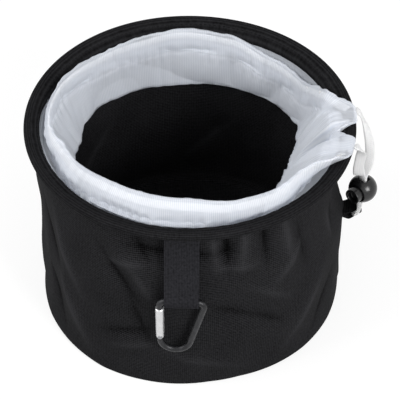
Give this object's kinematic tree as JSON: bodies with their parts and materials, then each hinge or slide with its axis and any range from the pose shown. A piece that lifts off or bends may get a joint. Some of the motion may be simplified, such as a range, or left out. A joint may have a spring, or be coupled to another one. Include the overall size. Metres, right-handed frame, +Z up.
{
  "type": "peg bag",
  "caption": "Round soft peg bag with a wire-stiffened rim, a white drawstring collar pushed down inside, a ball cord lock on the side and a tape hanger with a small carabiner.",
  "frame": {"origin": "centre of the base, on the surface the bag stands on", "axes": "+Z up, -Y towards the hanger at the front, +X towards the side seam with the cord lock"},
  "size_m": [0.2173, 0.2033, 0.1516],
  "materials": {
    "body_cloth": "matte black woven polyester with a fine rib",
    "rim_tape": "matte black woven binding tape",
    "collar_voile": "sheer white polyester",
    "cord_white": "soft white flat braid",
    "hoop_steel": "drawn spring wire",
    "lock_plastic": "satin black moulded plastic",
    "spring_steel": "bright drawn wire",
    "loop_tape": "black ribbed tape",
    "hanger_tape": "black woven tape",
    "carabiner_black": "black anodised",
    "gate_silver": "bright satin",
    "pin_steel": "peened rivet"
  },
  "bodies": {
    "bag": {"rim_hoop": "hoop_steel", "rim_binding": "rim_tape", "body_wall": "body_cloth", "base_panel": "body_cloth", "drawstring_collar": "collar_voile", "drawcord": "cord_white", "side_loop": "loop_tape"},
    "lock": {"cord_lock_body": "lock_plastic", "cord_lock_spring": "spring_steel"},
    "button": {"cord_lock_plunger": "lock_plastic"},
    "hanger": {"hanger_loop": "hanger_tape"},
    "carabiner": {"carabiner_frame": "carabiner_black"},
    "gate": {"carabiner_gate": "gate_silver", "gate_pin": "pin_steel", "gate_spring": "spring_steel"}
  },
  "joints": [
    {"name": "lock_slide", "type": "slide", "parent": "bag", "child": "lock", "axis": [0, 0, 1], "range_m": [0, 0.03], "deforming": ["drawcord"]},
    {"name": "lock_button", "type": "slide", "parent": "lock", "child": "button", "axis": [0.6428, 0.766, 0], "range_m": [0, 0.002], "stiffness_N_per_m": 500, "springref_m": -0.002, "deforming": ["cord_lock_spring"]},
    {"name": "hanger_lift", "type": "hinge", "parent": "bag", "child": "hanger", "pos_m": [0, -0.09296, 0.13329], "axis": [-1, 0, 0], "range_deg": [0, 100]},
    {"name": "carabiner_swing", "type": "hinge", "parent": "hanger", "child": "carabiner", "pos_m": [0, -0.0997, 0.08728], "axis": [-1, 0, 0], "range_deg": [0, 140]},
    {"name": "gate_open", "type": "hinge", "parent": "carabiner", "child": "gate", "pos_m": [-0.0128, -0.0997, 0.05678], "axis": [0, 1, 0], "range_deg": [0, 25], "stiffness_Nm_per_rad": 0.05, "springref_deg": -17.19, "deforming": ["gate_spring"]}
  ]
}
